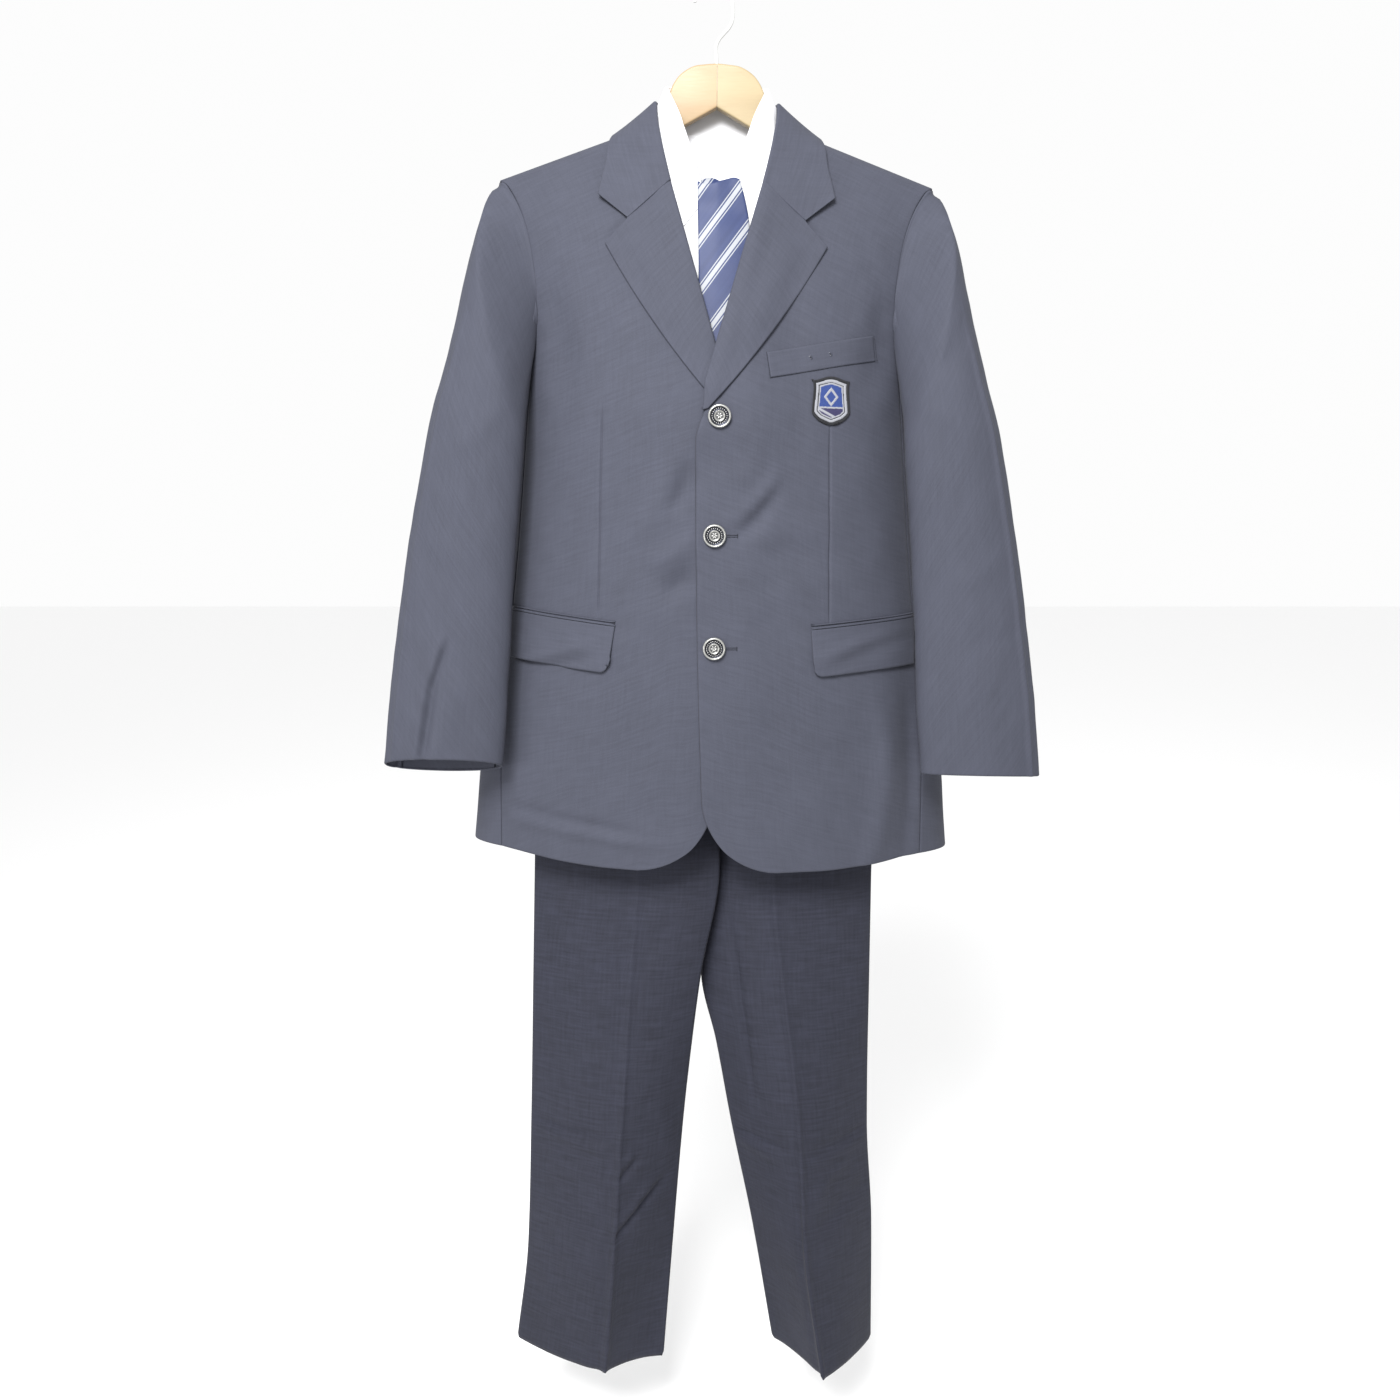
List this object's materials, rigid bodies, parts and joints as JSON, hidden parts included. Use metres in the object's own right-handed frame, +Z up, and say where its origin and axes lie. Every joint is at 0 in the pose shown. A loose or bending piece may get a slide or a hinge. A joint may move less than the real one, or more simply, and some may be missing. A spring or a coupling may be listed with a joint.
{
  "type": "school uniform",
  "caption": "School uniform on a wooden hanger: blazer closed over an open-necked shirt and striped tie, with creased trousers hanging below.",
  "frame": {"origin": "inside of the crown of the hanger's hook, where a rail or peg carries it", "axes": "+Z up, -Y the front of the garments, +X the wearer's left"},
  "size_m": [0.678, 0.1679, 1.4986],
  "materials": {
    "suiting": "matt wool-like twill, dark slate navy",
    "trouser_cloth": "matt wool-like twill, near-black charcoal",
    "shirting": "plain white poplin",
    "tie_cloth": "royal blue satin twill with white stripes",
    "badge_cloth": null,
    "button_metal": "antique silver with a raised rim",
    "hanger_wood": "pale varnished wood",
    "hook_paint": "gloss white on steel wire",
    "steel": "plain satin steel"
  },
  "bodies": {
    "root": {"jacket_front_l": "suiting", "jacket_front_r": "suiting", "jacket_side_l": "suiting", "jacket_side_r": "suiting", "jacket_back_l": "suiting", "jacket_back_r": "suiting", "jacket_sleeve_upper_l": "suiting", "jacket_sleeve_upper_r": "suiting", "jacket_sleeve_under_l": "suiting", "jacket_sleeve_under_r": "suiting", "lapel_l": "suiting", "lapel_r": "suiting", "pocket_jet_l": "suiting", "pocket_jet_r": "suiting", "pocket_flap_l": "suiting", "pocket_flap_r": "suiting", "collar_fall": "suiting", "collar_stand": "suiting", "chest_welt": "suiting", "trouser_front_l": "trouser_cloth", "trouser_front_r": "trouser_cloth", "trouser_back_l": "trouser_cloth", "trouser_back_r": "trouser_cloth", "waistband": "trouser_cloth", "shirt_front_l": "shirting", "shirt_front_r": "shirting", "shirt_sleeve_l": "shirting", "shirt_sleeve_r": "shirting", "shirt_back": "shirting", "shirt_yoke": "shirting", "shirt_collar_fall": "shirting", "shirt_collar_stand": "shirting", "tie_blade": "tie_cloth", "tie_tail": "tie_cloth", "badge": "badge_cloth", "button_1": "button_metal", "button_2": "button_metal", "button_3": "button_metal", "hanger_arm_l": "hanger_wood", "hanger_arm_r": "hanger_wood", "hook": "hook_paint", "clip_bar": "steel", "drop_wire_l": "steel", "drop_wire_r": "steel", "trouser_clip_l": "steel", "trouser_clip_r": "steel"}
  },
  "joints": []
}
